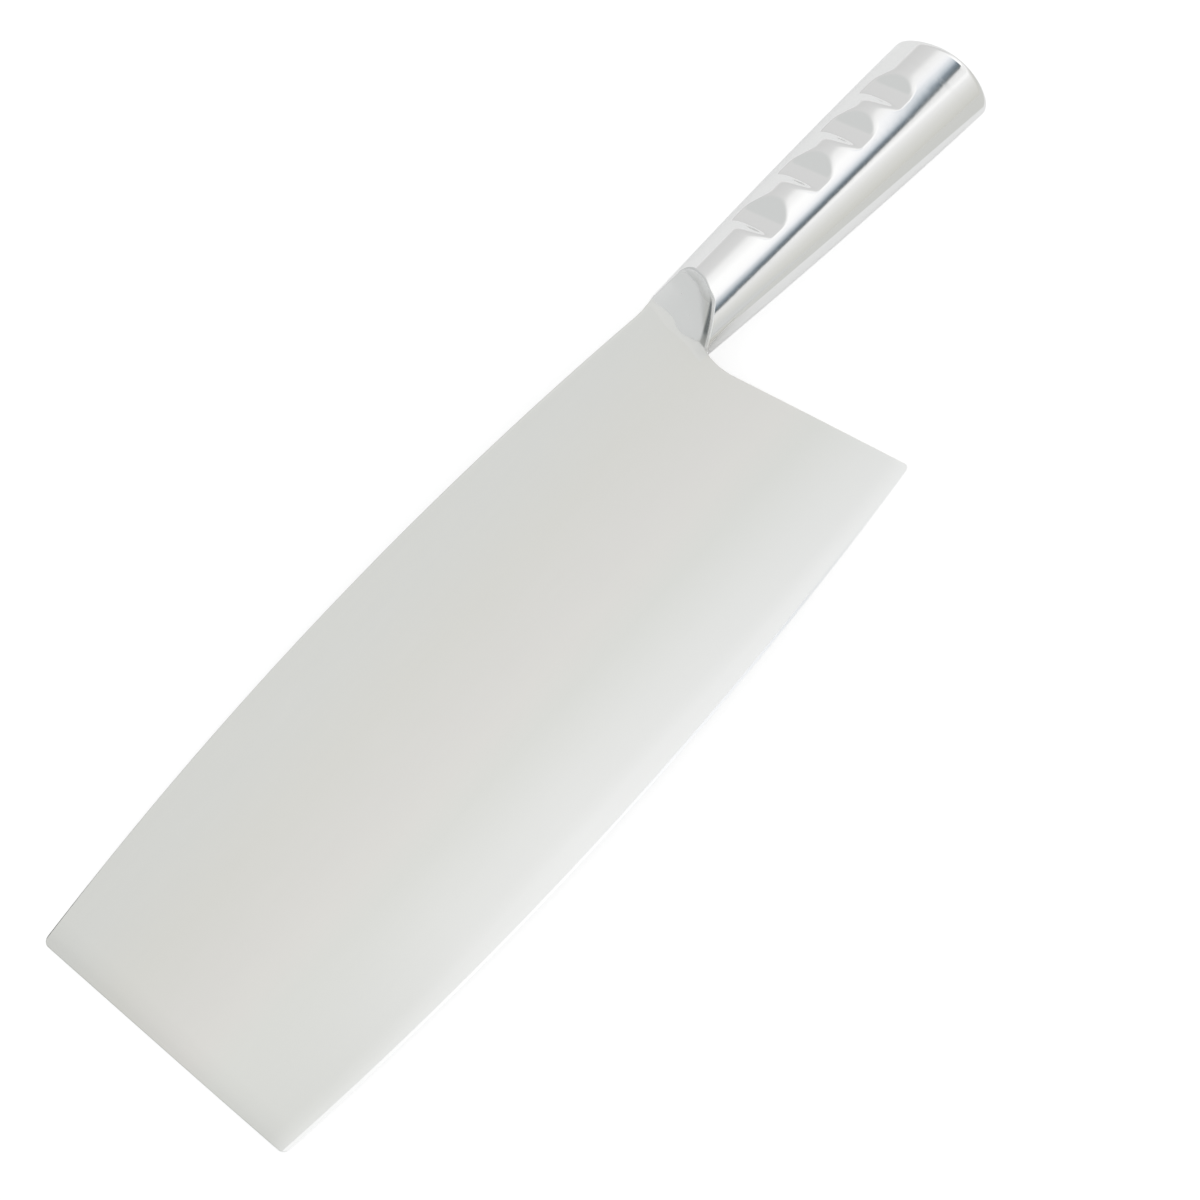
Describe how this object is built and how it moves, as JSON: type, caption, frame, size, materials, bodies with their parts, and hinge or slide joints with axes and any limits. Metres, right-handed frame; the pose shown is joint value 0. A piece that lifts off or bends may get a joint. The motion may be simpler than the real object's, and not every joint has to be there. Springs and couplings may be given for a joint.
{
  "type": "chinese cleaver",
  "caption": "All-metal Chinese cleaver: tall satin blade with a thin convex grind, welded to a hollow polished handle with a thumb hollow, grip dents and a domed butt.",
  "frame": {"origin": "bottom centre of the whole knife's box, with the knife lying on its side", "axes": "+X along the blade from its front edge towards the butt of the handle, +Y from the cutting edge towards the spine, +Z across the thickness, out of the front face"},
  "size_m": [0.3128, 0.0884, 0.027],
  "materials": {
    "satin_steel": "satin",
    "polished_steel": "polished",
    "ground_weld": "ground flush and polished"
  },
  "bodies": {
    "root": {"blade": "satin_steel", "handle_shell_front": "polished_steel", "handle_shell_back": "polished_steel", "spine_seam_weld": "ground_weld", "belly_seam_weld": "ground_weld", "butt_cap": "polished_steel", "butt_weld": "ground_weld", "neck_weld_front": "ground_weld", "neck_weld_back": "ground_weld"}
  },
  "joints": []
}
